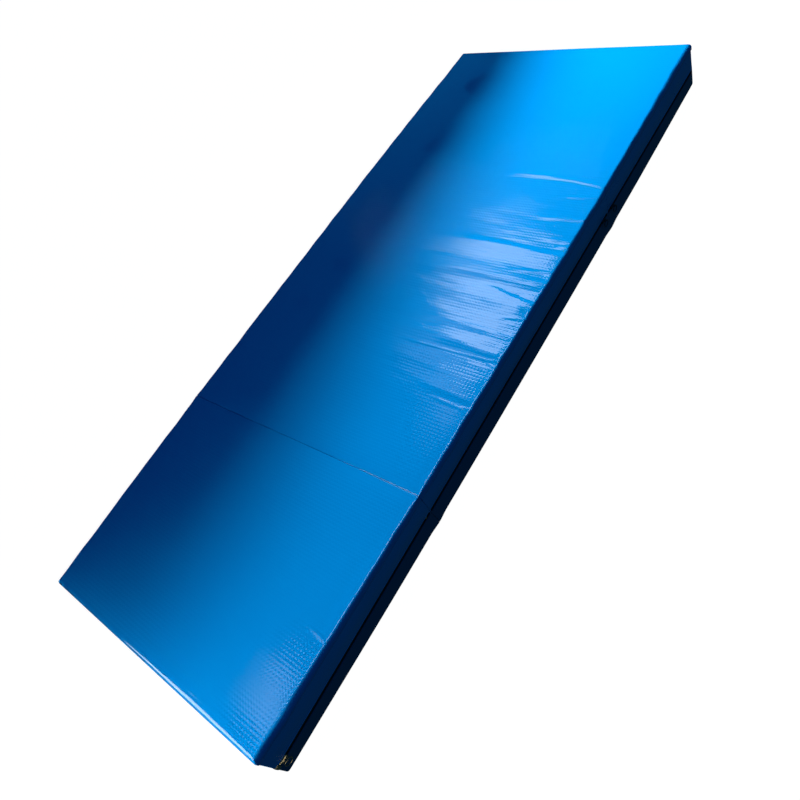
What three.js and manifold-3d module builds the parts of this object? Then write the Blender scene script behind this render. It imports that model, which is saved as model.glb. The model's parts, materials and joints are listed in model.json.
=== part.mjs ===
// Folding gym mat: three foam panels in coated-fabric covers, joined by fabric
// fold hinges, each cover closed by a zip along the front side wall.
// Millimetres. +X runs along the mat towards the far end, -Y is the zip side,
// +Z is up. The origin is the middle of the underside.
import * as THREE from "three";
import { mergeVertices } from "three/addons/utils/BufferGeometryUtils.js";
import Module from "manifold-3d";

const wasm = await Module();
wasm.setup();

// ---- Driving dimensions ----
const LENGTH = 1850;
const WIDTH = 690;
const THICKNESS = 118;
const END_PANEL_SHARE = 0.28; // length of each end panel as a share of the mat
const FOLD_GAP = 4; // between two panels' end walls

const COVER = 1.2; // coated fabric
const CORNER_R = 10; // of the panel in plan
const EDGE_R = 9; // of the panel's long edges
const ROUND_STEPS = 3;
const CLEAR = 0.3; // between two pieces that touch

const ZIP_Z = 46; // height of the zip's centre line
const ZIP_SLOT = 9; // between the two hems
const ZIP_END = 10; // from a panel's end to its zip slot
const CHAIN_HEIGHT = 4.6;
const CHAIN_DEPTH = 2.4;
const CHAIN_SET_BACK = 0.6; // behind the wall's outer face
const TAPE_HEIGHT = 15;
const TAPE = 0.8;
const TAPE_END = 2; // from a zip slot's end to its tapes' ends
const FOAM_SET_BACK = 4.2; // behind the wall's outer face on the zip side
const STOP_LENGTH = 5;

const SLIDER_LENGTH = 16;
const SLIDER_HEIGHT = 8.2;
const SLIDER_PLATE = 2.2;
const SLIDER_PARK = 22; // from a panel's end to its slider
const PLATE_CORNER_R = 2.4;
const LIP = 1.1;
const LUG_REACH = 6;
const LUG_THICKNESS = 1.6;
const LUG_HEIGHT = 5.6;
const LUG_HOLE_R = 1.4;
const LUG_HOLE_IN = 2.6; // from the lug's tip to the middle of its hole
const HOLE_SIDES = 16;
const RING_R = 8; // to the middle of the wire
const RING_STEPS = 28;
const RING_WIRE_R = 0.9;
const RING_WIRE_SIDES = 8;

const HINGE_LEAF = 1;
const HINGE_HEIGHT = 42;
const HINGE_END = 22; // from the mat's side wall to the end of a hinge leaf
const HINGE_INSET = 2; // from the face that the hinge runs along

const PAST = 1; // how far a cutting or joining solid reaches past a face

const BLUE_VINYL = 0x0a5fc4;
const NAVY_VINYL = 0x0a2348;
const FOAM_CREAM = 0xe8e2c8;
const TAPE_BLACK = 0x0b0c0f;
const CHAIN_BLACK = 0x0d0e11;
const HINGE_BLUE = 0x08306e;
const BRASS = 0xa8894f;
const BLACK_METAL = 0x17181a;

// ---- Worked out from them ----
const FRONT = -WIDTH / 2;
const NEAR_FOLD_X = (END_PANEL_SHARE - 0.5) * LENGTH;
const FAR_FOLD_X = -NEAR_FOLD_X;
const HALF_GAP = FOLD_GAP / 2;
// park is the end of the panel that its slider is parked at: -1 near, 1 far.
const PANELS = [
  { name: "near", x0: -LENGTH / 2, x1: NEAR_FOLD_X - HALF_GAP, park: -1, metal: BRASS },
  { name: "middle", x0: NEAR_FOLD_X + HALF_GAP, x1: FAR_FOLD_X - HALF_GAP, park: 1, metal: BLACK_METAL },
  { name: "far", x0: FAR_FOLD_X + HALF_GAP, x1: LENGTH / 2, park: -1, metal: BLACK_METAL },
];

const mat = new THREE.Group();

// ---- Helpers ----
function paint(color, roughness, metalness) {
  return new THREE.MeshStandardMaterial({ color, roughness, metalness });
}

function addPiece(name, geometry, material) {
  const piece = new THREE.Mesh(geometry, material);
  piece.name = name;
  mat.add(piece);
  return piece;
}

function solidOf(geometry) {
  const bare = geometry.clone();
  bare.deleteAttribute("normal");
  bare.deleteAttribute("uv");
  const merged = mergeVertices(bare, 1e-4);
  return new wasm.Manifold(
    new wasm.Mesh({
      numProp: 3,
      vertProperties: new Float32Array(merged.attributes.position.array),
      triVerts: new Uint32Array(merged.index.array),
    }),
  );
}

function geometryOf(solid) {
  const mesh = solid.getMesh();
  const geometry = new THREE.BufferGeometry();
  geometry.setAttribute("position", new THREE.BufferAttribute(mesh.vertProperties, 3));
  geometry.setIndex(new THREE.BufferAttribute(mesh.triVerts, 1));
  geometry.computeVertexNormals();
  return geometry;
}

// A box between two corners.
function box(low, high) {
  const size = high.map((value, i) => value - low[i]);
  const middle = high.map((value, i) => (value + low[i]) / 2);
  return new THREE.BoxGeometry(...size).translate(...middle);
}

function roundedRectangle(width, height, radius) {
  const x = width / 2;
  const y = height / 2;
  const shape = new THREE.Shape();
  shape.moveTo(radius - x, -y);
  shape.lineTo(x - radius, -y);
  shape.absarc(x - radius, radius - y, radius, -Math.PI / 2, 0);
  shape.lineTo(x, y - radius);
  shape.absarc(x - radius, y - radius, radius, 0, Math.PI / 2);
  shape.lineTo(radius - x, y);
  shape.absarc(radius - x, y - radius, radius, Math.PI / 2, Math.PI);
  shape.lineTo(-x, radius - y);
  shape.absarc(radius - x, radius - y, radius, Math.PI, Math.PI * 1.5);
  return shape;
}

// A block between two corners, rounded by CORNER_R in plan and EDGE_R along its
// edges, with both radii made smaller by inset.
function roundedBlock(low, high, inset) {
  const edge = EDGE_R - inset;
  const outline = roundedRectangle(
    high[0] - low[0] - 2 * edge,
    high[1] - low[1] - 2 * edge,
    CORNER_R - EDGE_R,
  );
  const block = new THREE.ExtrudeGeometry(outline, {
    depth: high[2] - low[2] - 2 * edge,
    bevelThickness: edge,
    bevelSize: edge,
    bevelSegments: ROUND_STEPS,
    curveSegments: ROUND_STEPS,
  });
  return block.translate((low[0] + high[0]) / 2, (low[1] + high[1]) / 2, low[2] + edge);
}

// ---- Panel pieces ----
// The shell of one panel's cover, still whole, with the zip slot cut out.
function coverShell(panel) {
  const outer = solidOf(roundedBlock([panel.x0, FRONT, 0], [panel.x1, -FRONT, THICKNESS], 0));
  const inner = solidOf(
    roundedBlock(
      [panel.x0 + COVER, FRONT + COVER, COVER],
      [panel.x1 - COVER, -FRONT - COVER, THICKNESS - COVER],
      COVER,
    ),
  );
  const slot = solidOf(
    box(
      [panel.x0 + ZIP_END, FRONT - PAST, ZIP_Z - ZIP_SLOT / 2],
      [panel.x1 - ZIP_END, FRONT + COVER + PAST, ZIP_Z + ZIP_SLOT / 2],
    ),
  );
  return outer.subtract(inner).subtract(slot);
}

// The shell is parted at the zip's height into an upper and a lower cover.
function addCovers(panel) {
  const shell = coverShell(panel);
  const half = CLEAR / 2;
  const reach = LENGTH;
  const below = solidOf(box([-reach, -reach, -reach], [reach, reach, ZIP_Z + half]));
  const above = solidOf(box([-reach, -reach, ZIP_Z - half], [reach, reach, reach]));
  const upper = geometryOf(shell.subtract(below));
  const lower = geometryOf(shell.subtract(above));
  addPiece(panel.name + "_upper_cover", upper, paint(BLUE_VINYL, 0.32, 0));
  addPiece(panel.name + "_lower_cover", lower, paint(NAVY_VINYL, 0.4, 0));
}

function addFoam(panel) {
  const skin = COVER + 2 * CLEAR;
  const foam = roundedBlock(
    [panel.x0 + skin, FRONT + FOAM_SET_BACK, skin],
    [panel.x1 - skin, -FRONT - skin, THICKNESS - skin],
    skin,
  );
  addPiece(panel.name + "_foam_core", foam, paint(FOAM_CREAM, 0.95, 0));
}

function addTapes(panel) {
  const y0 = FRONT + COVER + CLEAR;
  const x0 = panel.x0 + ZIP_END + TAPE_END;
  const x1 = panel.x1 - ZIP_END - TAPE_END;
  const from = CHAIN_HEIGHT / 2 + CLEAR;
  const cloth = paint(TAPE_BLACK, 0.85, 0);
  addPiece(
    panel.name + "_zip_upper_tape",
    box([x0, y0, ZIP_Z + from], [x1, y0 + TAPE, ZIP_Z + from + TAPE_HEIGHT]),
    cloth,
  );
  addPiece(
    panel.name + "_zip_lower_tape",
    box([x0, y0, ZIP_Z - from - TAPE_HEIGHT], [x1, y0 + TAPE, ZIP_Z - from]),
    cloth.clone(),
  );
}

// The chain runs between two metal stops.
function addChain(panel) {
  const x0 = panel.x0 + ZIP_END + CLEAR;
  const x1 = panel.x1 - ZIP_END - CLEAR;
  const front = FRONT + CHAIN_SET_BACK;
  const z0 = ZIP_Z - CHAIN_HEIGHT / 2;
  const z1 = ZIP_Z + CHAIN_HEIGHT / 2;
  const back = front + CHAIN_DEPTH;
  const between = STOP_LENGTH + CLEAR;
  const metal = paint(panel.metal, 0.35, 0.9);
  const chain = box([x0 + between, front, z0], [x1 - between, back, z1]);
  const nearStop = box([x0, front, z0], [x0 + STOP_LENGTH, back, z1]);
  const farStop = box([x1 - STOP_LENGTH, front, z0], [x1, back, z1]);
  addPiece(panel.name + "_zip_chain", chain, paint(CHAIN_BLACK, 0.5, 0));
  addPiece(panel.name + "_zip_near_stop", nearStop, metal);
  addPiece(panel.name + "_zip_far_stop", farStop, metal.clone());
}

// ---- Slider and its ring ----
// The slider straddles the chain: a front plate, a lip above and below, and a
// lug with a hole along X for the ring.
function sliderGeometry() {
  const back = CHAIN_SET_BACK - CLEAR;
  const front = plateFront();
  const plate = new THREE.ExtrudeGeometry(
    roundedRectangle(SLIDER_LENGTH, SLIDER_HEIGHT, PLATE_CORNER_R),
    { depth: back - front, bevelEnabled: false, curveSegments: ROUND_STEPS },
  )
    .rotateX(Math.PI / 2)
    .translate(0, back, 0);
  const lipEnd = SLIDER_LENGTH / 2 - PLATE_CORNER_R;
  const lips = [SLIDER_HEIGHT / 2 - LIP, -SLIDER_HEIGHT / 2].map((low) =>
    solidOf(box([-lipEnd, back - PAST, low], [lipEnd, COVER, low + LIP])),
  );
  const lug = box(
    [-LUG_THICKNESS / 2, front - LUG_REACH, -LUG_HEIGHT / 2],
    [LUG_THICKNESS / 2, front + PAST, LUG_HEIGHT / 2],
  );
  const hole = new THREE.CylinderGeometry(LUG_HOLE_R, LUG_HOLE_R, LUG_THICKNESS * 2, HOLE_SIDES)
    .rotateZ(Math.PI / 2)
    .translate(0, ringOffset(), 0);
  const body = solidOf(plate).add(lips[0]).add(lips[1]).add(solidOf(lug));
  return geometryOf(body.subtract(solidOf(hole)));
}

// The slider plate's front face, as a Y offset from the wall.
function plateFront() {
  return CHAIN_SET_BACK - CLEAR - SLIDER_PLATE - COVER;
}

// The ring's pivot, as a Y offset from the wall.
function ringOffset() {
  return plateFront() - LUG_REACH + LUG_HOLE_IN;
}

// The ring hangs in the plane of the wall, through the lug's hole.
function ringGeometry() {
  const ring = new THREE.TorusGeometry(RING_R, RING_WIRE_R, RING_WIRE_SIDES, RING_STEPS);
  return ring.rotateX(Math.PI / 2);
}

function addSlider(panel) {
  const x = panel.park < 0 ? panel.x0 + SLIDER_PARK : panel.x1 - SLIDER_PARK;
  const metal = paint(panel.metal, 0.35, 0.9);
  const slider = addPiece(panel.name + "_zip_slider", sliderGeometry(), metal);
  slider.position.set(x, FRONT, ZIP_Z);
  const ring = addPiece(panel.name + "_zip_ring", ringGeometry(), metal.clone());
  ring.position.set(x, FRONT + ringOffset(), ZIP_Z - RING_R);
}

// ---- Fold hinges ----
// A fold hinge is one strip of cover fabric, sewn down both panels' end walls.
// Each leaf is the half that lies on one panel.
function addHinge(name, foldX, bottom, sides) {
  const cloth = paint(HINGE_BLUE, 0.5, 0);
  sides.forEach(({ side, panel }) => {
    const wall = foldX + side * (HALF_GAP - CLEAR);
    const low = Math.min(wall, wall - side * HINGE_LEAF);
    addPiece(
      name + "_hinge_leaf_on_" + panel,
      box(
        [low, FRONT + HINGE_END, bottom],
        [low + HINGE_LEAF, -FRONT - HINGE_END, bottom + HINGE_HEIGHT],
      ),
      cloth.clone(),
    );
  });
}

PANELS.forEach((panel) => {
  addFoam(panel);
  addCovers(panel);
  addTapes(panel);
  addChain(panel);
  addSlider(panel);
});

// The near fold is hinged along the underside, the far fold along the top.
addHinge("near_fold", NEAR_FOLD_X, HINGE_INSET, [
  { side: -1, panel: "near" },
  { side: 1, panel: "middle" },
]);
addHinge("far_fold", FAR_FOLD_X, THICKNESS - HINGE_HEIGHT - HINGE_INSET, [
  { side: -1, panel: "middle" },
  { side: 1, panel: "far" },
]);

export default mat;
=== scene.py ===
import json
import math

import bpy
import numpy as np
from mathutils import Matrix, Vector

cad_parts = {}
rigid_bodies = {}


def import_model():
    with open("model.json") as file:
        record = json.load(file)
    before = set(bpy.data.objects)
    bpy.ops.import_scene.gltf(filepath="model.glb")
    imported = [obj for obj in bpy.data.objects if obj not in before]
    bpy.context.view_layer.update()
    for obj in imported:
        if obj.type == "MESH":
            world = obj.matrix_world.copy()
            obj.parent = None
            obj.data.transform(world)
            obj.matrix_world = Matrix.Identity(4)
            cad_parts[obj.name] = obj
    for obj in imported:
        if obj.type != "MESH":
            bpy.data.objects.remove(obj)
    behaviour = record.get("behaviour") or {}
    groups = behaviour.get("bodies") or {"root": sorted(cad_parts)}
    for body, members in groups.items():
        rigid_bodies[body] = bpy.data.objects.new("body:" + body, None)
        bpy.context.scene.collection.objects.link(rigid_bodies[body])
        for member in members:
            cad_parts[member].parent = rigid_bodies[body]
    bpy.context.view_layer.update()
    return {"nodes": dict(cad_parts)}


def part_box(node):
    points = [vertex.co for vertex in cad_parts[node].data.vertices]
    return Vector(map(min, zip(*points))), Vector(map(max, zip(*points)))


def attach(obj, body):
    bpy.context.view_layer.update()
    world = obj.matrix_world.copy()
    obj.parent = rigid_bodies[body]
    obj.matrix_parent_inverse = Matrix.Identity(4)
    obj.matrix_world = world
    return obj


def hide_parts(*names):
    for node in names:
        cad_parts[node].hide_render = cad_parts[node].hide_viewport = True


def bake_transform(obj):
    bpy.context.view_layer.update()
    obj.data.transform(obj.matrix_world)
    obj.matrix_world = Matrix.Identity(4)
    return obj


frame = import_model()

# Folding gym mat. Metres. +X runs along the mat to the far end panel, -Y is the
# zip side, +Z is up, and the origin is the middle of the underside.

# ---- Sizes, from the frame ----
NEAR_LOW, NEAR_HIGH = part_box("near_upper_cover")
MIDDLE_LOW, MIDDLE_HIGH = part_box("middle_upper_cover")
FAR_LOW, FAR_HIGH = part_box("far_upper_cover")
LENGTH = FAR_HIGH.x - NEAR_LOW.x
WIDTH = NEAR_HIGH.y - NEAR_LOW.y
TOP = NEAR_HIGH.z
FRONT = NEAR_LOW.y
BACK = NEAR_HIGH.y
NEAR_FOLD_X = (NEAR_HIGH.x + MIDDLE_LOW.x) / 2
FAR_FOLD_X = (MIDDLE_HIGH.x + FAR_LOW.x) / 2
CHAIN_LOW, CHAIN_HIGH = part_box("near_zip_chain")
ZIP_Z = (CHAIN_LOW.z + CHAIN_HIGH.z) / 2
PANELS = {
    "near": (NEAR_LOW.x, NEAR_FOLD_X),
    "middle": (NEAR_FOLD_X, FAR_FOLD_X),
    "far": (FAR_FOLD_X, FAR_HIGH.x),
}

# ---- Sizes of the cover ----
SKIN = 0.0008  # coated fabric
EDGE_R = 0.010  # along the edges at the mat's ends
SIDE_R = 0.0055  # along the long edges, away from the ends
CORNER_POWER = 5.0  # 2 rounds the mat's corners fully; more makes them squarer
FOLD_EDGE_R = 0.0010  # along the edges that meet at a fold
FOLD_EASE = 0.03  # length over which the radius changes
FOLD_HALF_GAP = 0.00025
FOLD_BAND = 0.0005  # half width of the strip of fabric that turns at a fold
SKIRT = 0.016  # how far the top skin runs down the walls
WALL_INSET = 0.0009  # of the walls behind the top skin's skirt
FOLD_RECESS = 0.0014  # of a wall that faces a fold, behind its skirt and hinge strip
WALL_TOP = TOP - 0.008
HEM_GAP = 0.0046  # from the zip's centre line to each hem
SEAM_GAP = 0.0003  # the same, where the covers are sewn to each other
ZIP_END = 0.010  # from the mat's ends to the zips' openings
ZIP_FOLD_END = 0.004  # the same, from a fold
ZIP_PROUD = 0.0006  # how far the hems stand out from the wall's corner line
BOW_FRONT = 0.006  # how far the long walls bow out at mid length
BOW_BACK = 0.010
CROWN = 0.0022
CROWN_EASE = 0.02  # how fast the crown rises from a panel's ends
FOLD_DIP = 0.15  # how far the crown drops at the far fold, as a share of it
FOLD_DIP_REACH = 0.04

# ---- Sizes of the trim ----
HINGE_STRIP = 0.0007
HINGE_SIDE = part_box("near_fold_hinge_leaf_on_near")[1].y  # half its width across the mat
HINGE_LEG_X = 0.0009  # from a fold to the middle of a hinge strip's leg
HINGE_TURN = 0.0016  # from the face it runs along to a hinge strip's bend
TOOTH_PITCH = 0.003
TOOTH_LENGTH = 0.0013
HEM_HALF_HEIGHT = 0.0014
HEM_HALF_DEPTH = 0.0008
HEM_STITCH_GAP = 0.0042  # from a hem's edge to the stitching beside it
SKIRT_STITCH_UP = 0.0035  # from the skirt's lower edge to its stitching
SLIDER_PROUD = 0.0031  # how far a slider's plate stands out from the front wall
SLIDER_LUG_R = 0.0021
CLIP_LEG = 0.009  # of the clip round the near corner, along each wall
CLIP_HALF_HEIGHT = 0.007
THREAD_R = 0.00028
STITCH = 0.0030
STITCH_PITCH = 0.0042
FOAM_EDGE_R = 0.008

FLOOR_HALF = 30.0
FLOOR_Z = -0.0006
FLAG_Z = 0.38
FLAG_TILT = 0.02  # rise per metre towards the far end
FLAG_PLAN = ((2.8, 0.292), (2.8, 2.6), (-3.0, 2.6), (-3.0, 0.03), (0.25, 0.192))

CAMERA_AT = (-0.6623, -0.9919, 1.1495)
CAMERA_AIM = (-0.2378, -0.1892, 0.118)
CAMERA_ROLL = math.radians(-35.345)
CAMERA_LENS = 29.86


# ---- Small helpers ----
def smooth(value, low, high):
    """0 below low, 1 above high, and a smooth step between."""
    t = np.clip((value - low) / (high - low), 0.0, 1.0)
    return t * t * (3.0 - 2.0 * t)


def along(share):
    """X at a share of the mat's length from the near end."""
    return (share - 0.5) * LENGTH


def across(share):
    """Y at a share of the mat's width from the front wall."""
    return FRONT + share * WIDTH


def waves(x, y, seed, size, count=7):
    """Smooth random relief of about +-1, with features about size across."""
    random = np.random.default_rng(seed)
    total = np.zeros_like(x)
    for _ in range(count):
        angle = random.uniform(0, math.tau)
        scale = math.tau / (size * random.uniform(0.7, 1.6))
        phase = random.uniform(0, math.tau)
        total += np.sin((x * math.cos(angle) + y * math.sin(angle)) * scale + phase)
    return total / math.sqrt(count)


# ---- Relief of the top skin ----
# Pleats run in from the front edge. Each has a crest line and two flanks: where the
# crest starts and ends as shares of the length, how far across it starts and ends as
# shares of the width, how far it bends, its height, and its near and far flanks'
# widths.
PLEATS = [
    # broad folds, with a wide near flank that faces the light
    (0.607, 0.610, 0.00, 0.60, 0.0060, 0.0020, 0.042, 0.014),
    (0.558, 0.552, 0.00, 0.62, 0.0120, 0.0013, 0.022, 0.040),
    (0.533, 0.550, 0.00, 0.24, 0.0000, 0.0014, 0.050, 0.008),
    (0.721, 0.728, 0.00, 0.46, 0.0125, 0.0012, 0.008, 0.020),
    # tucks, steep on their near flank
    (0.457, 0.468, 0.00, 0.42, 0.0000, 0.0022, 0.021, 0.110),
    (0.396, 0.402, 0.00, 0.26, 0.0000, 0.0014, 0.014, 0.080),
    # short puckers at the edge
    (0.742, 0.742, 0.00, 0.10, 0.0000, 0.0010, 0.006, 0.007),
    (0.704, 0.695, 0.00, 0.18, 0.0000, 0.0011, 0.006, 0.008),
    (0.666, 0.660, 0.00, 0.20, 0.0000, 0.0011, 0.006, 0.008),
    (0.630, 0.629, 0.00, 0.11, 0.0010, 0.0011, 0.006, 0.006),
    (0.623, 0.619, 0.00, 0.06, 0.0000, 0.0009, 0.005, 0.005),
    (0.582, 0.573, 0.00, 0.17, 0.0010, 0.0008, 0.006, 0.008),
    (0.565, 0.564, 0.00, 0.08, 0.0000, 0.0009, 0.005, 0.006),
    (0.522, 0.528, 0.00, 0.07, 0.0000, 0.0009, 0.005, 0.005),
    (0.512, 0.505, 0.00, 0.11, 0.0010, 0.0009, 0.006, 0.006),
    (0.484, 0.490, 0.00, 0.30, 0.0010, 0.0006, 0.014, 0.010),
    (0.210, 0.212, 0.00, 0.06, 0.0000, 0.0007, 0.004, 0.004),
    (0.117, 0.121, 0.00, 0.09, 0.0000, 0.0009, 0.005, 0.005),
    # thin creases that split in two beside the edge
    (0.450, 0.447, 0.03, 0.42, 0.0000, 0.0011, 0.0034, 0.0034),
    (0.452, 0.450, 0.00, 0.05, 0.0000, 0.0009, 0.0030, 0.0030),
    (0.442, 0.449, 0.00, 0.05, 0.0000, 0.0009, 0.0030, 0.0030),
    (0.385, 0.388, 0.03, 0.16, 0.0000, 0.0010, 0.0034, 0.0034),
    (0.388, 0.386, 0.00, 0.045, 0.0000, 0.0008, 0.0030, 0.0030),
    (0.379, 0.385, 0.00, 0.045, 0.0000, 0.0008, 0.0030, 0.0030),
]


def pleat(x, y, start, end, low, high, bend, height, near_flank, far_flank):
    t = (y - across(low)) / ((high - low) * WIDTH)
    inside = np.clip(t, 0.0, 1.0)
    crest = along(start) + (along(end) - along(start)) * inside
    crest = crest + bend * 4.0 * inside * (1.0 - inside)
    wider = 0.75 + 0.6 * inside
    d = (x - crest) / (np.where(x < crest, near_flank, far_flank) * wider)
    fade = smooth(t, -0.08, 0.06) * (1.0 - smooth(t, 0.45, 1.0))
    slope = np.clip(1.0 - np.abs(d), 0.0, 1.0)
    return height * fade * (1.0 - smooth(np.abs(d), 0.0, 1.0) * 0.4) * slope


def crown(x, y, low, high):
    """Height of the padding between two X: level in the middle, lower near its edges."""
    to_edge = np.maximum(np.minimum(x - low, high - x), 0.0)
    v = np.abs(y / (WIDTH / 2))
    return (1.0 - np.exp(-to_edge / CROWN_EASE)) * (1.0 - np.clip(v, 0, 1) ** 6)


def relief(x, y):
    """Height of the top skin above the flat top."""
    near = crown(x, y, *PANELS["near"])
    # The skin runs on over the far fold, where it only dips a little.
    rest = crown(x, y, NEAR_FOLD_X, FAR_HIGH.x)
    dip = FOLD_DIP * np.exp(-(((x - FAR_FOLD_X) / FOLD_DIP_REACH) ** 2)) * rest
    height = CROWN * np.where(x < NEAR_FOLD_X, near, rest - dip)
    free = 1.0 - smooth(np.abs(y), WIDTH / 2 - 0.03, WIDTH / 2)
    near_front = 1.0 - smooth(y, across(0.10), across(0.75))
    middle_part = smooth(x, along(0.34), along(0.44)) * (
        1 - smooth(x, along(0.62), along(0.74))
    )
    height = height + 0.0005 * free * waves(x, y, 3, 0.34)
    drawn = near_front * middle_part * free
    height = height + 0.0004 * drawn * waves(x, y * 0.35, 8, 0.07)
    height = height + 0.00013 * drawn * waves(x, y * 0.15, 5, 0.022)
    for item in PLEATS:
        height = height + pleat(x, y, *item)
    return height


def bow(x, y):
    """How far a point is moved in Y by the long walls' bow."""
    share = 1.0 - (x / (LENGTH / 2)) ** 2
    front = np.where(y < 0, (y / FRONT) * BOW_FRONT, 0.0)
    back = np.where(y > 0, (y / BACK) * BOW_BACK, 0.0)
    return (back - front) * share


# ---- Mesh building ----
def graded(low, high, step, fine_low=0.0, fine_high=0.0, fine=0.0012):
    """Places from low to high, fine apart within the end strips and step between."""
    a = np.linspace(low, low + fine_low, max(1, round(fine_low / fine)) + 1) if fine_low else [low]
    b = np.linspace(high - fine_high, high, max(1, round(fine_high / fine)) + 1) if fine_high else [high]
    count = max(1, round((b[0] - a[-1]) / step))
    middle = np.linspace(a[-1], b[0], count + 1)
    return np.unique(np.round(np.concatenate([a, middle, b]), 7))


def grid(first, second, place):
    """Corner points and quads of a grid; place puts (first, second) in space."""
    u, v = np.meshgrid(first, second, indexing="ij")
    points = place(u.ravel(), v.ravel())
    rows, columns = u.shape
    index = np.arange(rows * columns).reshape(rows, columns)
    quads = np.stack(
        [index[:-1, :-1], index[1:, :-1], index[1:, 1:], index[:-1, 1:]], axis=-1
    ).reshape(-1, 4)
    uv = np.stack([u.ravel(), v.ravel()], axis=1)
    return points, quads, uv


ALL_SIDES = ("top", "bottom", "front", "back", "near_end", "far_end")


def box_sides(xs, ys, zs, sides):
    """Grids for the named sides of a box, wound to face out."""
    made = []
    low_x, high_x, low_y, high_y, low_z, high_z = xs[0], xs[-1], ys[0], ys[-1], zs[0], zs[-1]

    def at(value, like):
        return np.full_like(like, value)

    if "top" in sides:
        made.append(grid(xs, ys, lambda u, v: np.stack([u, v, at(high_z, u)], 1)))
    if "bottom" in sides:
        p, q, uv = grid(xs, ys, lambda u, v: np.stack([u, v, at(low_z, u)], 1))
        made.append((p, q[:, ::-1], uv))
    if "front" in sides:
        made.append(grid(xs, zs, lambda u, v: np.stack([u, at(low_y, u), v], 1)))
    if "back" in sides:
        p, q, uv = grid(xs, zs, lambda u, v: np.stack([u, at(high_y, u), v], 1))
        made.append((p, q[:, ::-1], uv))
    if "near_end" in sides:
        p, q, uv = grid(ys, zs, lambda u, v: np.stack([at(low_x, u), u, v], 1))
        made.append((p, q[:, ::-1], uv))
    if "far_end" in sides:
        made.append(grid(ys, zs, lambda u, v: np.stack([at(high_x, u), u, v], 1)))
    return made


def joined(parts):
    """One set of points, quads and corner UVs, with shared points merged."""
    points, quads, corners, base = [], [], [], 0
    for p, q, uv in parts:
        points.append(p)
        quads.append(q + base)
        corners.append(uv[q])
        base += len(p)
    points = np.concatenate(points)
    quads = np.concatenate(quads)
    corners = np.concatenate(corners)
    _, first, inverse = np.unique(
        np.round(points, 6), axis=0, return_index=True, return_inverse=True
    )
    return points[first], inverse.reshape(-1)[quads], corners


def mesh_object(name, points, faces, corners=None):
    mesh = bpy.data.meshes.new(name)
    mesh.from_pydata(np.asarray(points).tolist(), [], [list(face) for face in faces])
    if corners is not None:
        layer = mesh.uv_layers.new(name="flat")
        layer.data.foreach_set("uv", corners.reshape(-1).astype(np.float32))
    mesh.polygons.foreach_set("use_smooth", [True] * len(mesh.polygons))
    mesh.update()
    made = bpy.data.objects.new(name, mesh)
    bpy.context.scene.collection.objects.link(made)
    return made


def apply_modifiers(piece):
    bpy.context.view_layer.update()
    graph = bpy.context.evaluated_depsgraph_get()
    done = bpy.data.meshes.new_from_object(piece.evaluated_get(graph))
    piece.modifiers.clear()
    piece.data = done
    return piece


def thicken(piece, thickness):
    """Gives a sheet its thickness, inwards from its outer face."""
    solid = piece.modifiers.new("thickness", "SOLIDIFY")
    solid.thickness = thickness
    solid.offset = -1.0
    solid.use_even_offset = False
    return apply_modifiers(piece)


def edge_radius(x, low, high):
    """Radius of a panel's edges: full at the mat's ends, and small at a fold's edge."""
    radius = EDGE_R - (EDGE_R - SIDE_R) * smooth(LENGTH / 2 - np.abs(x), 0.02, 0.4)
    for fold in (NEAR_FOLD_X, FAR_FOLD_X):
        if min(abs(low - fold), abs(high - fold)) < FOLD_EASE:
            nearness = 1.0 - smooth(np.abs(x - fold), 0.0, FOLD_EASE)
            radius -= (radius - FOLD_EDGE_R) * nearness
    return radius


def rounded(points, low, high, radius, top=False, bottom=False, power=CORNER_POWER):
    """Moves points of a sharp box onto the same box with rounded edges."""
    inner = points.copy()
    for axis in (0, 1):
        inner[:, axis] = np.clip(points[:, axis], low[axis] + radius, high[axis] - radius)
    if top:
        inner[:, 2] = np.minimum(inner[:, 2], high[2] - radius)
    if bottom:
        inner[:, 2] = np.maximum(inner[:, 2], low[2] + radius)
    away = points - inner
    plan = (np.abs(away[:, 0]) ** power + np.abs(away[:, 1]) ** power) ** (1.0 / power)
    length = np.hypot(plan, away[:, 2])
    length[length < 1e-9] = 1.0
    return inner + away / length[:, None] * radius[:, None]


def rounded_box(low, high, radius, steps=2):
    """A closed box with rounded edges, as points and faces."""
    axes = []
    for a, b in zip(low, high):
        start = np.linspace(a, a + radius, steps + 1)
        axes.append(np.concatenate([start, (a + b) - start[::-1]]))
    points, quads, _ = joined(box_sides(*axes, ALL_SIDES))
    radii = np.full(len(points), radius)
    return rounded(points, low, high, radii, True, True, power=2.0), quads.tolist()


def together(shells):
    """One set of points and faces from several closed shells."""
    points, faces, base = [], [], 0
    for shell_points, shell_faces in shells:
        points.append(np.asarray(shell_points))
        faces += [[index + base for index in face] for face in shell_faces]
        base += len(shell_points)
    return np.concatenate(points), faces


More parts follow.
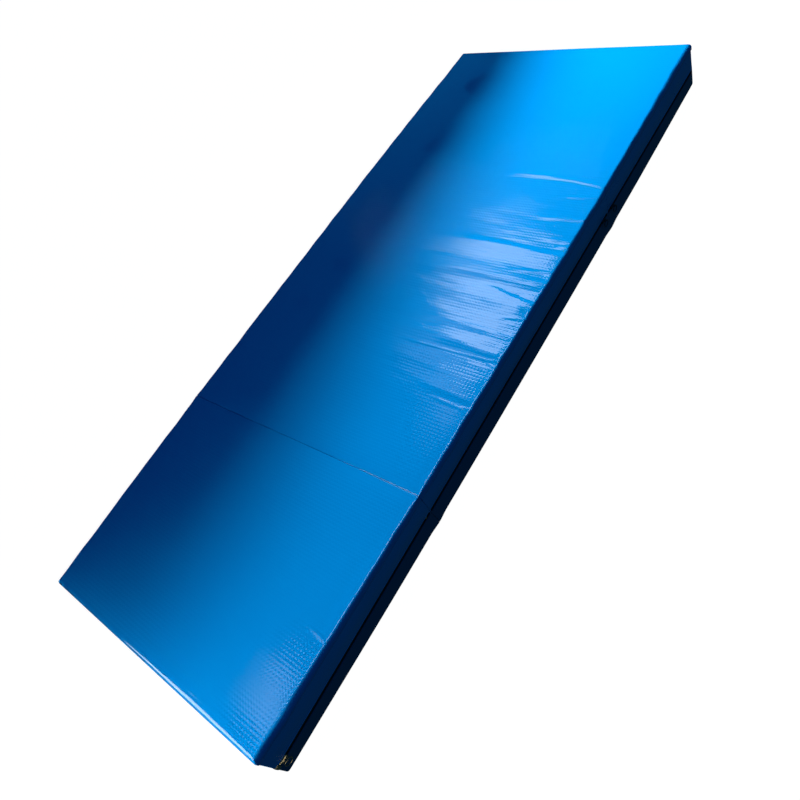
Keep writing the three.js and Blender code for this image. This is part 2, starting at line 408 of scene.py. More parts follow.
def tube(path, half_width, half_depth, up, sides=12, closed=False):
    """An elliptical tube along a path; half_width lies along up."""
    path = np.asarray(path, float)
    if closed:
        tangent = np.roll(path, -1, axis=0) - np.roll(path, 1, axis=0)
    else:
        tangent = np.gradient(path, axis=0)
    tangent /= np.linalg.norm(tangent, axis=1)[:, None]
    side = np.cross(tangent, np.asarray(up, float))
    side /= np.linalg.norm(side, axis=1)[:, None]
    level = np.cross(side, tangent)
    turn = np.arange(sides) * math.tau / sides
    ring = level[:, None] * (np.cos(turn) * half_width)[None, :, None]
    ring = ring + side[:, None] * (np.sin(turn) * half_depth)[None, :, None]
    points = (path[:, None] + ring).reshape(-1, 3)
    index = np.arange(len(points)).reshape(len(path), sides)
    after = np.roll(index, -1, axis=1)
    rows = range(len(path) if closed else len(path) - 1)
    faces = []
    for row in rows:
        ahead = (row + 1) % len(path)
        for k in range(sides):
            faces.append([index[row, k], index[ahead, k], after[ahead, k], after[row, k]])
    if not closed:
        faces += [index[0].tolist(), index[-1][::-1].tolist()]
    return points, [[int(corner) for corner in face] for face in faces]


# ---- Cover pieces ----
def panel_ends(name):
    low, high = PANELS[name]
    low = low + (0.0 if name == "near" else FOLD_HALF_GAP)
    high = high - (0.0 if name == "far" else FOLD_HALF_GAP)
    return low, high


def skin_places(low, high):
    """X places of a top skin: close together where the gathers are."""
    bands = [
        (along(0.0), along(0.10), 0.006),
        (along(0.10), along(0.13), 0.0025),
        (along(0.13), NEAR_FOLD_X, 0.007),
        (NEAR_FOLD_X, along(0.36), 0.006),
        (along(0.36), along(0.74), 0.0026),
        (along(0.74), along(1.0), 0.007),
    ]
    places = [graded(low, high, high - low, 0.012, 0.012)]
    for a, b, step in bands:
        a, b = max(a, low + 0.012), min(b, high - 0.012)
        if b - a > step:
            places.append(graded(a, b, step))
    merged = np.unique(np.round(np.concatenate(places), 5))
    merged = merged[np.concatenate([[True], np.diff(merged) > 0.0004])]
    band = FAR_FOLD_X + np.linspace(-FOLD_BAND, FOLD_BAND, 9)
    band = band[(band >= low) & (band <= high)]
    clear = np.abs(merged - FAR_FOLD_X) > FOLD_BAND + 0.0003
    return np.union1d(merged[clear], band)


def skin_shape(sharp, low, high):
    """Puts points of a sharp box onto a top skin."""
    radius = edge_radius(sharp[:, 0], low, high)
    points = rounded(sharp, (low, FRONT, 0), (high, BACK, TOP), radius, top=True)
    share = smooth(sharp[:, 2], TOP - SKIRT, TOP)
    points[:, 2] += relief(sharp[:, 0], sharp[:, 1]) * share
    points[:, 1] += bow(points[:, 0], points[:, 1])
    edge = smooth(np.abs(sharp[:, 1]), WIDTH / 2 - 0.02, WIDTH / 2)
    uneven = waves(sharp[:, 0], sharp[:, 2], 21, 0.09)
    points[:, 1] += np.sign(sharp[:, 1]) * 0.0006 * edge * uneven
    return points


def skin_sides(low, high):
    """Sharp grids of a top skin: its top, and its skirts down the outer walls."""
    xs = skin_places(low, high)
    ys = graded(FRONT, BACK, 0.006, 0.03, 0.012)
    zs = graded(TOP - SKIRT, TOP, 0.002, 0.0, 0.011)
    sides = ["top", "front", "back"]
    sides += ["near_end"] if abs(low - FAR_FOLD_X) > FOLD_EASE else []
    sides += ["far_end"] if abs(high - FAR_FOLD_X) > FOLD_EASE else []
    return box_sides(xs, ys, zs, sides)


def cut_skirts(sharp, side):
    """Opens one side of a long skin's skirts at the far fold, where they part as it folds."""
    below = smooth(TOP - sharp[:, 2], 0.003, 0.005)
    close = 1.0 - smooth(np.abs(sharp[:, 0] - FAR_FOLD_X), FOLD_BAND, 0.004)
    opened = sharp.copy()
    opened[:, 0] += side * 1.2 * FOLD_BAND * below * close
    return opened


def top_skin(name, low, high):
    if low < FAR_FOLD_X < high:
        sheets = []
        for side, a, b in ((-1, low, FAR_FOLD_X), (1, FAR_FOLD_X, high)):
            for points, quads, uv in skin_sides(a, b):
                sheets.append((cut_skirts(points, side), quads, uv))
    else:
        sheets = skin_sides(low, high)
    sharp, quads, corners = joined(sheets)
    made = mesh_object(name, skin_shape(sharp, low, high), quads, corners)
    return thicken(made, SKIN)


def wall_out(x, z):
    """How far a long wall stands out at a height: padded above and below the zip."""
    upper = smooth(z, ZIP_Z + 0.012, ZIP_Z + 0.034) * (1 - smooth(z, TOP - 0.034, TOP - 0.012))
    lower = 0.5 * (1 - smooth(z, ZIP_Z - 0.030, ZIP_Z - 0.016)) * smooth(z, 0.0, 0.014)
    return 0.0012 * (upper + lower) * (1 + 0.3 * waves(x, z, 33, 0.16))


def zip_tuck(x, z):
    """How far the front wall is drawn in beside the zip, which runs straight."""
    reach = np.where(z > ZIP_Z, 0.016, 0.026)
    close = np.exp(-(((z - ZIP_Z) / reach) ** 2))
    return close * (BOW_FRONT * (1.0 - (x / (LENGTH / 2)) ** 2) - ZIP_PROUD)


def zip_opening(low, high):
    """X of the ends of a zip's opening: it runs almost up to a fold."""
    near = ZIP_FOLD_END if abs(low) < LENGTH / 4 else ZIP_END
    far = ZIP_FOLD_END if abs(high) < LENGTH / 4 else ZIP_END
    return low + near, high - far


def closed_share(sharp, low, high):
    """1 where the upper and lower covers are sewn together, 0 along the zip."""
    on_front = sharp[:, 1] < FRONT + WALL_INSET + 1e-5
    start, end = zip_opening(low, high)
    opened = smooth(sharp[:, 0], start - 0.003, start) * smooth(-sharp[:, 0], -end - 0.003, -end)
    return 1.0 - on_front * opened


def wall_shape(sharp, low, high, bottom):
    """Puts points of a sharp box onto a cover's walls."""
    toward = np.sign(sharp[:, 2] - ZIP_Z)
    reach = 1.0 - smooth(np.abs(sharp[:, 2] - ZIP_Z), HEM_GAP, 0.024)
    sharp = sharp.copy()
    meet = closed_share(sharp, low, high) * (HEM_GAP - SEAM_GAP)
    sharp[:, 2] -= toward * reach * meet
    radius = edge_radius(sharp[:, 0], low, high)
    ends = (low, FRONT + WALL_INSET, 0.0), (high, BACK - WALL_INSET, TOP)
    points = rounded(sharp, *ends, radius, bottom=bottom)
    points[:, 1] += bow(points[:, 0], points[:, 1])
    side = np.sign(sharp[:, 1])
    long_wall = smooth(np.abs(sharp[:, 1]), WIDTH / 2 - 0.02, WIDTH / 2 - WALL_INSET)
    away = smooth(sharp[:, 0] - low, 0.0, 0.03) * smooth(high - sharp[:, 0], 0.0, 0.03)
    points[:, 1] += side * long_wall * away * wall_out(sharp[:, 0], sharp[:, 2])
    front = long_wall * (side < 0)
    points[:, 1] += front * zip_tuck(sharp[:, 0], sharp[:, 2])
    points[:, 0] += fold_recess(sharp, low, high)
    return points


def fold_recess(sharp, low, high):
    """How far a wall that faces a fold stands back along X."""
    within = 1.0 - smooth(np.abs(sharp[:, 1]), HINGE_SIDE, HINGE_SIDE + 0.008)
    behind = np.maximum(within, smooth(sharp[:, 2], TOP - SKIRT - 0.006, TOP - SKIRT - 0.001))
    move = np.zeros(len(sharp))
    for end, inward in ((low, 1.0), (high, -1.0)):
        if abs(end) < LENGTH / 4:
            close = 1.0 - smooth(np.abs(sharp[:, 0] - end), 0.0, 0.012)
            move += inward * FOLD_RECESS * close * behind
    return move


def wall_ends(panel):
    """X of a panel's two end walls."""
    low, high = panel_ends(panel)
    low += WALL_INSET if panel == "near" else 0.0
    high -= WALL_INSET if panel == "far" else 0.0
    return low, high


def wall_piece(name, panel, zs, sides, bottom):
    low, high = wall_ends(panel)
    xs = graded(low, high, 0.008, 0.012, 0.012)
    ys = graded(FRONT + WALL_INSET, BACK - WALL_INSET, 0.012, 0.012, 0.012)
    sharp, quads, corners = joined(box_sides(xs, ys, zs, sides))
    points = wall_shape(sharp, low, high, bottom)
    return thicken(mesh_object(name, points, quads, corners), SKIN)


def upper_walls(panel):
    """The upper part of a cover's walls, from under the top skin to the zip."""
    zs = graded(ZIP_Z + HEM_GAP, WALL_TOP, 0.004, 0.004, 0.0, 0.001)
    sides = ("front", "back", "near_end", "far_end")
    return wall_piece(panel + "_upper_walls", panel, zs, sides, bottom=False)


def underside(panel):
    """A cover's underside and the walls below the zip."""
    zs = graded(0.0, ZIP_Z - HEM_GAP, 0.004, 0.012, 0.004)
    sides = ("bottom", "front", "back", "near_end", "far_end")
    return wall_piece(panel + "_underside", panel, zs, sides, bottom=True)


# ---- Trim ----
def front_wall_places(panel, z, margin=0.0):
    """Points along a panel's front wall at one height, beside its zip's opening."""
    low, high = wall_ends(panel)
    start, end = zip_opening(low, high)
    xs = graded(start + margin, end - margin, 0.006)
    sharp = np.stack([xs, np.full_like(xs, FRONT + WALL_INSET), np.full_like(xs, z)], 1)
    return wall_shape(sharp, low, high, bottom=False)


def hem(name, panel, side):
    """The rolled hem above (side 1) or below (side -1) a panel's zip."""
    path = front_wall_places(panel, ZIP_Z + side * (HEM_GAP + HEM_HALF_HEIGHT))
    path[:, 1] += SKIN / 2 + 0.0001
    points, faces = tube(path, HEM_HALF_HEIGHT, HEM_HALF_DEPTH, (0, 0, 1), sides=10)
    return mesh_object(name, points, faces)


def stitches(name, rows):
    """Separate stitches of thread along each row of surface points."""
    half = STITCH / 2
    stations = [(-half, 0.5), (-half + 0.0004, 1.0), (half - 0.0004, 1.0), (half, 0.5)]
    sides = 6
    turn = np.arange(sides) * math.tau / sides
    last = (len(stations) - 1) * sides  # the first point of the last station
    shells = []
    for row, outward in rows:
        steps = np.linalg.norm(np.diff(row, axis=0), axis=1)
        run = np.concatenate([[0], np.cumsum(steps)])
        starts = np.arange(STITCH, run[-1] - STITCH, STITCH_PITCH)
        for start in starts:
            centre, ahead = (
                np.array([np.interp(at, run, row[:, axis]) for axis in range(3)])
                for at in (start, start + half)
            )
            line = (ahead - centre) / np.linalg.norm(ahead - centre)
            out = np.asarray(outward, float)
            across_line = np.cross(line, out)
            points = []
            for place, share in stations:
                for angle in turn:
                    spread = out * math.cos(angle) * 0.8 + across_line * math.sin(angle)
                    lifted = centre + out * THREAD_R * 0.3
                    points.append(lifted + line * place + spread * THREAD_R * share)
            faces = []
            for base in range(0, last, sides):
                for j in range(sides):
                    here, there = base + j, base + (j + 1) % sides
                    faces.append([here, here + sides, there + sides, there])
            faces += [list(range(sides)), list(range(last, last + sides))[::-1]]
            shells.append((np.array(points), faces))
    return mesh_object(name, *together(shells))


def hem_stitches(panel):
    rows = []
    for side in (-1, 1):
        z = ZIP_Z + side * (HEM_GAP + HEM_STITCH_GAP)
        rows.append((front_wall_places(panel, z, margin=0.004), (0, -1, 0)))
    return stitches(panel + "_hem_stitching", rows)


def skirt_row(start, end, low, high):
    """Points along the skirt's seam between two places in plan."""
    count = max(2, round(math.dist(start, end) / 0.008))
    plan = np.linspace(start, end, count)
    sharp = np.column_stack([plan, np.full(count, TOP - SKIRT + SKIRT_STITCH_UP)])
    return skin_shape(sharp, low, high)


def skirt_stitches(name, low, high, start, end):
    """Stitching of one panel's part of the seam below the top skin's edge."""
    margin = EDGE_R + 0.003
    a, b = start + margin, end - margin
    rows = [
        (skirt_row((a, FRONT), (b, FRONT), low, high), (0, -1, 0)),
        (skirt_row((b, BACK), (a, BACK), low, high), (0, 1, 0)),
    ]
    side = WIDTH / 2 - margin
    if start == NEAR_LOW.x:
        rows.append((skirt_row((start, side), (start, -side), low, high), (-1, 0, 0)))
    if end == FAR_HIGH.x:
        rows.append((skirt_row((end, -side), (end, side), low, high), (1, 0, 0)))
    return stitches(name, rows)


def hinge_strip(name, fold_x, tip, turn):
    """A fold's hinge: one strip of fabric down both end walls and round their edge.

    tip is the height of both legs' free ends, and turn that of the bend.
    """
    toward = 1.0 if turn > tip else -1.0
    leg = np.linspace(tip, turn - toward * HINGE_LEG_X, 12)
    profile = [(-HINGE_LEG_X, z) for z in leg]
    for angle in np.linspace(0, math.pi, 9)[1:-1]:
        across_fold = -HINGE_LEG_X * math.cos(angle)
        profile.append((across_fold, leg[-1] + toward * HINGE_LEG_X * math.sin(angle)))
    profile += [(HINGE_LEG_X, z) for z in leg[::-1]]
    x, z = np.array(profile).T
    low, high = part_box(name + "_hinge_leaf_on_middle")
    ys = np.linspace(low.y, high.y, 60)
    rows = np.arange(len(x))
    points, quads, uv = grid(
        rows.astype(float),
        ys,
        lambda u, v: np.stack([fold_x + x[u.astype(int)], v, z[u.astype(int)]], 1),
    )
    made = mesh_object(name + "_hinge_strip", points, quads, uv[quads])
    solid = made.modifiers.new("thickness", "SOLIDIFY")
    solid.thickness = HINGE_STRIP
    solid.offset = 0.0
    return apply_modifiers(made)


def foam_block(panel):
    """A panel's foam core: a soft-edged block, a little uneven where it was cut."""
    low, high = (np.array(corner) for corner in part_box(panel + "_foam_core"))
    places = [graded(low[axis], high[axis], 0.02, 0.012, 0.012, 0.003) for axis in range(3)]
    points, quads, corners = joined(box_sides(*places, ALL_SIDES))
    dent = 0.0003 * (1 + waves(points[:, 0], points[:, 1] + points[:, 2], 44, 0.12))
    radius = np.full(len(points), FOAM_EDGE_R)
    points = rounded(points, low, high, radius, top=True, bottom=True)
    inward = np.sign((low + high) / 2 - points)
    points += inward * np.clip(dent, 0.0, 0.0006)[:, None]
    return mesh_object(panel + "_foam_block", points, quads, corners)


def zip_teeth(panel):
    """Two rows of moulded teeth that mesh along the zip's centre line."""
    low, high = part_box(panel + "_zip_chain")
    row_height = (high.z - low.z) * 0.62
    shells = []
    count = int((high.x - low.x - TOOTH_LENGTH) / (TOOTH_PITCH / 2))
    for k in range(count):
        x = low.x + 0.0002 + k * TOOTH_PITCH / 2
        base = low.z if k % 2 else high.z - row_height
        corner = (x, low.y + 0.0002, base)
        opposite = (x + TOOTH_LENGTH, high.y - 0.0002, base + row_height)
        shells.append(rounded_box(corner, opposite, 0.0004, steps=1))
    return mesh_object(panel + "_zip_teeth", *together(shells))


def zip_end_tabs(panel):
    """Short tabs that carry a zip's tapes on to the ends of its opening."""
    low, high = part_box(panel + "_zip_upper_tape")
    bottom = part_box(panel + "_zip_lower_tape")[0].z
    start, end = zip_opening(*wall_ends(panel))
    shells = [
        rounded_box((a, low.y, bottom), (b, high.y, high.z), 0.0002)
        for a, b in ((start - 0.002, low.x - 0.0001), (high.x + 0.0001, end + 0.002))
    ]
    return mesh_object(panel + "_zip_end_tabs", *together(shells))


def zip_stop(node, name):
    """A crimped metal stop: two rounded jaws and the bridge between them."""
    low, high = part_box(node)
    jaw = (high.z - low.z) * 0.4
    inset = 0.0007
    return mesh_object(
        name,
        *together(
            [
                rounded_box(low, (high.x, high.y, low.z + jaw), 0.0006),
                rounded_box((low.x, low.y, high.z - jaw), high, 0.0006),
                rounded_box(
                    (low.x + inset, low.y + inset, low.z + jaw - inset),
                    (high.x - inset, high.y - inset / 2, high.z - jaw + inset),
                    0.0004,
                ),
            ]
        ),
    )


def slider_lug(x, plate_y, pivot_y):
    """The half loop on a slider's plate that its ring passes through."""
    arch = [(x, plate_y, ZIP_Z + SLIDER_LUG_R)]
    for angle in np.linspace(0, math.pi, 13):
        y = pivot_y - SLIDER_LUG_R * math.sin(angle)
        arch.append((x, y, ZIP_Z + SLIDER_LUG_R * math.cos(angle)))
    arch.append((x, plate_y, ZIP_Z - SLIDER_LUG_R))
    return tube(arch, 0.0008, 0.00065, (1, 0, 0))


def slider(panel):
    """A cast slider: a domed plate, a flange behind each edge and the ring's lug."""
    low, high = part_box(panel + "_zip_slider")
    ring_low, ring_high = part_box(panel + "_zip_ring")
    x = (low.x + high.x) / 2
    plate = FRONT - SLIDER_PROUD
    shells = [
        rounded_box((low.x, plate, low.z), (high.x, FRONT + 0.0002, high.z), 0.0013, 3),
        rounded_box(
            (x - 0.0046, plate - 0.0006, ZIP_Z - 0.0026),
            (x + 0.0046, plate + 0.0008, ZIP_Z + 0.0026),
            0.0006,
        ),
    ]
    for flange_z in (low.z + 0.0001, high.z - 0.0011):
        corner = (low.x + 0.0026, FRONT - 0.0006, flange_z)
        opposite = (high.x - 0.0026, high.y, flange_z + 0.0010)
        shells.append(rounded_box(corner, opposite, 0.0004))
    shells.append(slider_lug(x, plate + 0.0006, (ring_low.y + ring_high.y) / 2))
    return mesh_object(panel + "_slider_body", *together(shells))


def pull_ring(panel):
    """The round wire ring that hangs from a slider's lug."""
    low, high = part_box(panel + "_zip_ring")
    middle = (low + high) / 2
    wire = (high.y - low.y) / 2
    radius = (high.x - low.x) / 2 - wire
    turn = np.arange(64) * math.tau / 64
    path = np.stack(
        [
            middle.x + radius * np.sin(turn),
            np.full_like(turn, middle.y),
            middle.z + radius * np.cos(turn),
        ],
        1,
    )
    return mesh_object(panel + "_pull_ring", *tube(path, wire, wire, (0, 1, 0), 14, closed=True))


def corner_clip():
    """A thin bent plate that ends the near panel's zip round its corner."""
    low, high = wall_ends("near")
    leg = np.linspace(CLIP_LEG, 0.0, 10)
    wall = FRONT + WALL_INSET
    sharp = [(low + d, wall, ZIP_Z) for d in leg]
    sharp += [(low, wall + d, ZIP_Z) for d in leg[::-1][1:]]
    path = wall_shape(np.array(sharp), low, high, bottom=False)
    path[:, :2] -= 0.0004
    return mesh_object("near_zip_corner_clip", *tube(path, CLIP_HALF_HEIGHT, 0.0005, (0, 0, 1)))


# ---- Materials ----
class Nodes:
    """A material's node tree, built with short calls."""

    def __init__(self, name):
        self.material = bpy.data.materials.new(name)
        self.material.use_nodes = True
        self.tree = self.material.node_tree
        self.shader = self.tree.nodes["Principled BSDF"]

    def new(self, kind, **values):
        node = self.tree.nodes.new(kind)
        for key, value in values.items():
            setattr(node, key, value)
        return node

    def link(self, source, target):
        self.tree.links.new(source, target)

    def math(self, operation, first, second=None):
        node = self.new("ShaderNodeMath", operation=operation)
        for socket, value in zip(node.inputs, (first, second)):
            if value is None:
                continue
            if isinstance(value, (int, float)):
                socket.default_value = value
            else:
                self.link(value, socket)
        return node.outputs[0]

    def noise(self, vector, scale, detail=3.0, roughness=0.5):
        node = self.new("ShaderNodeTexNoise")
        node.inputs["Scale"].default_value = scale
        node.inputs["Detail"].default_value = detail
        node.inputs["Roughness"].default_value = roughness
        self.link(vector, node.inputs["Vector"])
        return node.outputs["Fac"]

    def ramp(self, value, low, high, start, end):
        node = self.new("ShaderNodeMapRange")
        node.inputs["From Min"].default_value = low
        node.inputs["From Max"].default_value = high
        node.inputs["To Min"].default_value = start
        node.inputs["To Max"].default_value = end
        self.link(value, node.inputs["Value"])
        return node.outputs["Result"]

    def mix(self, factor, first, second):
        node = self.new("ShaderNodeMix", data_type="RGBA")
        sockets = node.inputs[0], node.inputs[6], node.inputs[7]
        for socket, value in zip(sockets, (factor, first, second)):
            if isinstance(value, (int, float)):
                socket.default_value = value
            elif isinstance(value, tuple):
                socket.default_value = (*value, 1.0)
            else:
                self.link(value, socket)
        return node.outputs[2]

    def bump(self, height, distance, strength, below=None):
        node = self.new("ShaderNodeBump")
        node.inputs["Distance"].default_value = distance
        node.inputs["Strength"].default_value = strength
        self.link(height, node.inputs["Height"])
        if below is not None:
            self.link(below, node.inputs["Normal"])
        return node.outputs["Normal"]

    def set(self, **values):
        for name, value in values.items():
            socket = self.shader.inputs[name.replace("_", " ")]
            if isinstance(value, (int, float)):
                socket.default_value = value
            elif isinstance(value, tuple):
                socket.default_value = (*value, 1.0)
            else:
                self.link(value, socket)


def vinyl(name, colour, deep, roughness=0.04, pitch=0.0075):
    """Glossy coated fabric: the weave of its base cloth shows through the coat."""
    n = Nodes(name)
    uv = n.new("ShaderNodeUVMap", uv_map="flat").outputs["UV"]
    split = n.new("ShaderNodeSeparateXYZ")
    n.link(uv, split.inputs[0])
    warp, weft = (
        n.math("SINE", n.math("MULTIPLY", split.outputs[axis], math.tau / pitch))
        for axis in range(2)
    )
    patch = n.noise(uv, 9.0, 2.0)
    soft = n.noise(uv, 60.0, 3.0)
    tone = n.noise(uv, 2.2, 4.0, 0.6)
    weave = n.math("MULTIPLY", warp, n.math("ADD", n.math("MULTIPLY", weft, 0.5), 0.5))
    weave = n.math("MULTIPLY", weave, n.ramp(patch, 0.3, 0.7, 0.5, 1.0))
    normal = n.bump(soft, 0.0006, 0.25)
    normal = n.bump(weave, 0.00010, 1.0, normal)
    gloss = n.noise(uv, 26.0, 4.0, 0.6)
    n.set(
        Base_Color=n.mix(n.ramp(tone, 0.35, 0.7, 0.0, 0.35), colour, deep),
        Roughness=n.ramp(gloss, 0.3, 0.75, roughness * 0.8, roughness * 1.4),
        Normal=normal,
        IOR=1.5,
    )
    return n.material


def plain(name, colour, roughness, metallic=0.0, grain=400.0, depth=0.0001, wear=None):
    """A moulded, cast or woven small part: grain, uneven gloss and some wear."""
    n = Nodes(name)
    place = n.new("ShaderNodeTexCoord").outputs["Object"]
    fine = n.noise(place, grain, 4.0)
    broad = n.noise(place, grain * 0.12, 4.0, 0.65)
    worn = wear or tuple(c * 0.7 for c in colour)
    base = n.mix(n.ramp(broad, 0.35, 0.7, 0.0, 1.0), colour, worn)
    n.set(
        Base_Color=base,
        Metallic=metallic,
        Roughness=n.ramp(fine, 0.3, 0.7, roughness - 0.08, roughness + 0.1),
        Normal=n.bump(fine, depth, 0.5),
    )
    return n.material


def dress(piece, material):
    piece.data.materials.clear()
    piece.data.materials.append(material)


# ---- Build ----
VINYL = vinyl("blue_vinyl", (0.0, 0.245, 0.63), (0.0, 0.22, 0.58))
# The walls get a lighter copy of the top skin's vinyl, with more green: painted light on the dimly lit
# walls.
WALL_VINYL_PAINTED_LIGHT = vinyl("blue_vinyl_wall_painted_light", (0.0, 0.29, 0.62), (0.0, 0.26, 0.56), roughness=0.3)
# The underside and the walls below the zip get a dark navy copy of the vinyl: painted shade where the
# walls turn under.
BASE_VINYL_PAINTED_SHADE = vinyl("navy_underside_vinyl_painted_shade", (0.0, 0.095, 0.18), (0.0, 0.07, 0.14), roughness=0.34)
# The hem above the zip is a much brighter blue than the vinyl: a painted highlight along its rolled
# edge.
HEM_PAINTED_HIGHLIGHT = plain("blue_hem_painted_highlight", (0.01, 0.50, 1.0), 0.3, grain=500.0)
# The hem below the zip shares that dark navy: painted shade.
BASE_HEM_PAINTED_SHADE = plain("navy_hem_painted_shade", (0.0, 0.07, 0.18), 0.34, grain=500.0)
THREAD = plain("blue_thread", (0.0, 0.12, 0.36), 0.6, grain=2500.0)
TAPE = plain("black_tape", (0.012, 0.012, 0.016), 0.8, grain=900.0)
TEETH = plain("black_teeth", (0.02, 0.02, 0.022), 0.45, grain=600.0)
BRASS = plain("aged_brass", (0.52, 0.40, 0.20), 0.32, 1.0, 300.0, wear=(0.34, 0.26, 0.14))
BLACK = plain("black_enamel", (0.012, 0.012, 0.014), 0.35, 0.0, 300.0)
FOAM = plain("foam", (0.82, 0.78, 0.64), 0.95, grain=250.0, depth=0.001)
HINGE = plain("hinge_cloth", (0.002, 0.06, 0.22), 0.45, grain=500.0)


def finish_piece(piece, body, material, slot, *nodes):
    """Rides a piece on its body, dresses it, and hides the CAD nodes it stands for."""
    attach(piece, body)
    dress(piece, material)
    if nodes:
        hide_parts(*nodes)
    return piece


def bend_piece(piece):
    """Bakes a piece's placement into its mesh; it rides no body."""
    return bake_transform(piece)


def add_skins():
    low, high = panel_ends("near")
    skin = top_skin("near_top_skin", low, high)
    finish_piece(skin, "near_panel", VINYL, "vinyl", "near_upper_cover")
    row = skirt_stitches("near_skirt_stitching", low, high, *PANELS["near"])
    finish_piece(row, "near_panel", THREAD, "vinyl")

    low, high = panel_ends("middle")[0], panel_ends("far")[1]
    skin = top_skin("middle_far_top_skin", low, high)
    dress(skin, VINYL)
    bend_piece(skin)
    for panel in ("middle", "far"):
        row = skirt_stitches(panel + "_skirt_stitching", low, high, *PANELS[panel])
        finish_piece(row, panel + "_panel", THREAD, "vinyl")


def add_panel(panel):
    body = panel + "_panel"
    finish_piece(upper_walls(panel), body, WALL_VINYL_PAINTED_LIGHT, "vinyl", panel + "_upper_cover")
    under = finish_piece(underside(panel), body, BASE_VINYL_PAINTED_SHADE, "base_vinyl", panel + "_lower_cover")
    foam = finish_piece(foam_block(panel), body, FOAM, "foam", panel + "_foam_core")
    finish_piece(hem(panel + "_upper_hem", panel, 1), body, HEM_PAINTED_HIGHLIGHT, "vinyl")
    finish_piece(hem(panel + "_lower_hem", panel, -1), body, BASE_HEM_PAINTED_SHADE, "base_vinyl")
    finish_piece(hem_stitches(panel), body, THREAD, "vinyl")


def add_zip(panel):
    body = panel + "_panel"
    metal, slot = (BRASS, "brass") if panel == "near" else (BLACK, "black_metal")
    finish_piece(zip_teeth(panel), body, TEETH, "zip_teeth", panel + "_zip_chain")
    finish_piece(zip_end_tabs(panel), body, TAPE, "zip_tape")
    for end in ("near", "far"):
        node = panel + "_zip_" + end + "_stop"
        name = panel + "_crimped_" + end + "_stop"
        finish_piece(zip_stop(node, name), body, metal, slot, node)
    finish_piece(slider(panel), panel + "_slider", metal, slot, panel + "_zip_slider")
    finish_piece(pull_ring(panel), panel + "_ring", metal, slot, panel + "_zip_ring")
    for side in ("upper", "lower"):
        dress(frame["nodes"][panel + "_zip_" + side + "_tape"], TAPE)


def add_hinges():
    near_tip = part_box("near_fold_hinge_leaf_on_near")[1].z
    near = hinge_strip("near_fold", NEAR_FOLD_X, near_tip, HINGE_TURN)
    far_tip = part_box("far_fold_hinge_leaf_on_far")[0].z
    far = hinge_strip("far_fold", FAR_FOLD_X, far_tip, TOP - HINGE_TURN)
    for piece, fold, first, second, fold_x in (
        (near, "near_fold", "near", "middle", NEAR_FOLD_X),
        (far, "far_fold", "middle", "far", FAR_FOLD_X),
    ):
        dress(piece, HINGE)
        leaves = [fold + "_hinge_leaf_on_" + panel for panel in (first, second)]
        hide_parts(*leaves)
        bend_piece(piece)


add_skins()
for panel in PANELS:
    add_panel(panel)
    add_zip(panel)
add_hinges()
finish_piece(corner_clip(), "near_panel", BRASS, "brass")


# ---- Floor, light and camera ----
def add_floor():
    half = FLOOR_HALF
    corners = [(-half, -half), (half, -half), (half, half), (-half, half)]
    floor = mesh_object("floor", [(x, y, FLOOR_Z) for x, y in corners], [(0, 1, 2, 3)])
    n = Nodes("pale_floor")
    n.set(Base_Color=(0.03, 0.03, 0.03), Roughness=0.9, Emission_Color=(1.0, 1.0, 1.0))
    n.set(Emission_Strength=1.0)
    floor.data.materials.append(n.material)
    floor.visible_diffuse = False
    floor.visible_glossy = False


def add_flag():
    """A dark board close over the back of the mat, whose edge shades it softly."""
    corners = [(x, y, FLAG_Z + FLAG_TILT * x) for x, y in FLAG_PLAN]
    flag = mesh_object("flag", corners, [(0, 1, 2, 3, 4)])
    n = Nodes("flag_black")
    n.set(Base_Color=(0.0, 0.0, 0.0), Roughness=1.0)
    flag.data.materials.append(n.material)
    flag.visible_camera = False
    flag.visible_glossy = False
    flag.visible_diffuse = False


def add_area(name, place, aim, size, power, diffuse=True, glossy=True):
    light = bpy.data.lights.new(name, "AREA")
    light.shape = "RECTANGLE"
    light.size, light.size_y = size
    light.energy = power
    lamp = bpy.data.objects.new(name, light)
    bpy.context.scene.collection.objects.link(lamp)
    lamp.location = place
    lamp.rotation_euler = (Vector(aim) - Vector(place)).to_track_quat("-Z", "Y").to_euler()
    lamp.visible_diffuse = diffuse
    lamp.visible_glossy = glossy
    return lamp


def add_brass_light():
    """A soft lamp in front of the mat that lights only its brass pieces."""
    lamp = add_area("brass_light", (-1.3, -1.4, 0.8), (-0.9, -0.35, 0.05), (0.6, 0.6), 6.0)
    lit = bpy.data.collections.new("brass_pieces")
    for piece in bpy.data.objects:
        if piece.type == "MESH" and BRASS.name in piece.data.materials:
            lit.objects.link(piece)
    lamp.light_linking.receiver_collection = lit


def add_panel_light(name, place, size, power, turn=0.0):
    """A level panel that only shows in the gloss."""
    below = (place[0], place[1], 0.0)
    lamp = add_area(name, place, below, size, power, diffuse=False)
    lamp.rotation_euler.z = math.radians(turn)
    return lamp


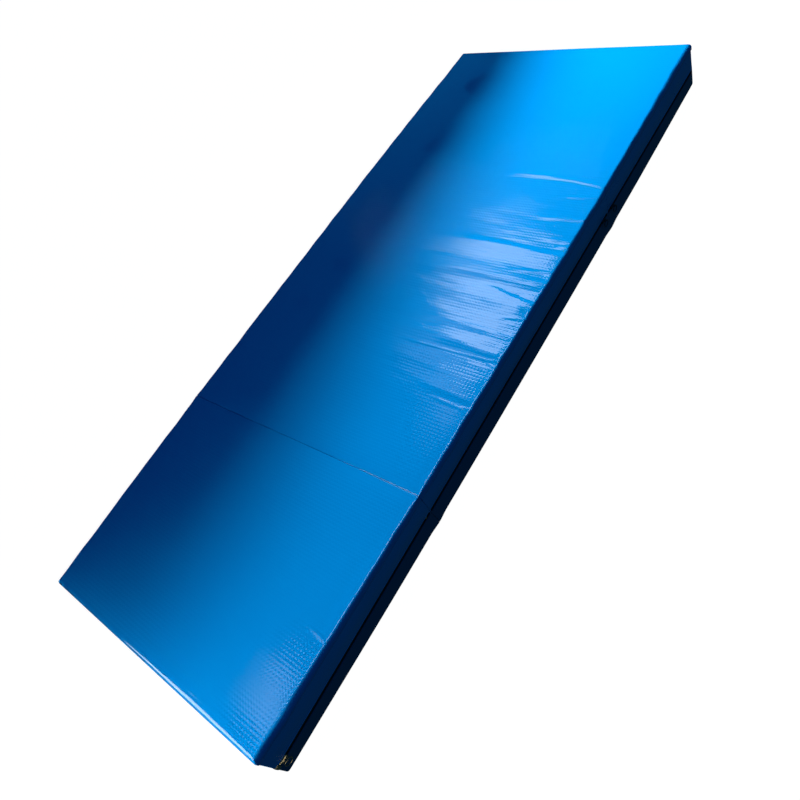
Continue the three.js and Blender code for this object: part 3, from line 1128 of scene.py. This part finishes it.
def add_camera():
    data = bpy.data.cameras.new("camera")
    data.lens = CAMERA_LENS
    data.sensor_width = 36.0
    data.clip_end = 200.0
    camera = bpy.data.objects.new("camera", data)
    bpy.context.scene.collection.objects.link(camera)
    camera.location = CAMERA_AT
    look = (Vector(CAMERA_AIM) - Vector(CAMERA_AT)).to_track_quat("-Z", "Y")
    turn = look.to_matrix().to_4x4()
    camera.rotation_euler = (turn @ Matrix.Rotation(CAMERA_ROLL, 4, "Z")).to_euler()
    bpy.context.scene.camera = camera


def add_world():
    """Dim blue light, most of it from above, and a white backdrop."""
    world = bpy.data.worlds.new("studio")
    world.use_nodes = True
    tree = world.node_tree
    back = tree.nodes["Background"]
    back.inputs["Strength"].default_value = 1.0
    place = tree.nodes.new("ShaderNodeTexCoord")
    split = tree.nodes.new("ShaderNodeSeparateXYZ")
    ramp = tree.nodes.new("ShaderNodeValToRGB")
    tree.links.new(place.outputs["Generated"], split.inputs[0])
    tree.links.new(split.outputs[2], ramp.inputs[0])
    seen = tree.nodes.new("ShaderNodeMix")
    seen.data_type = "RGBA"
    seen.inputs[7].default_value = (1.0, 1.0, 1.0, 1.0)
    path = tree.nodes.new("ShaderNodeLightPath")
    tree.links.new(path.outputs["Is Camera Ray"], seen.inputs[0])
    tree.links.new(ramp.outputs[0], seen.inputs[6])
    tree.links.new(seen.outputs[2], back.inputs["Color"])
    low, high = ramp.color_ramp.elements
    low.position, low.color = 0.0, (0.006, 0.028, 0.045, 1.0)
    high.position, high.color = 0.6, (0.007, 0.062, 0.185, 1.0)
    bpy.context.scene.world = world


add_floor()
add_area("key", (1.22, 0.79, 1.10), (0.0, -0.20, 0.1), (1.29, 0.41), 79.0, glossy=False)
add_area("near_key", (-1.48, 0.22, 0.41), (-1.0, -0.45, 0.1), (0.68, 0.11), 33.0, glossy=False)
add_area("end_gloss", (-1.75, 0.36, 0.72), (-0.92, -0.30, 0.1), (0.9, 0.7), 16.0, diffuse=False)
add_panel_light("gloss", (1.22, 0.88, 1.72), (0.52, 0.85), 5.6, turn=-37.0)
add_panel_light("low_gloss", (0.66, 0.90, 1.72), (0.22, 0.75), 0.4, turn=-37.0)
add_panel_light("near_gloss", (-1.05, 0.48, 1.42), (0.26, 0.24), 0.3)
add_panel_light("edge_gloss", (0.05, 0.20, 1.92), (2.2, 0.25), 11.0)
add_brass_light()
add_flag()
add_world()
add_camera()
bpy.context.scene.view_settings.view_transform = "Standard"
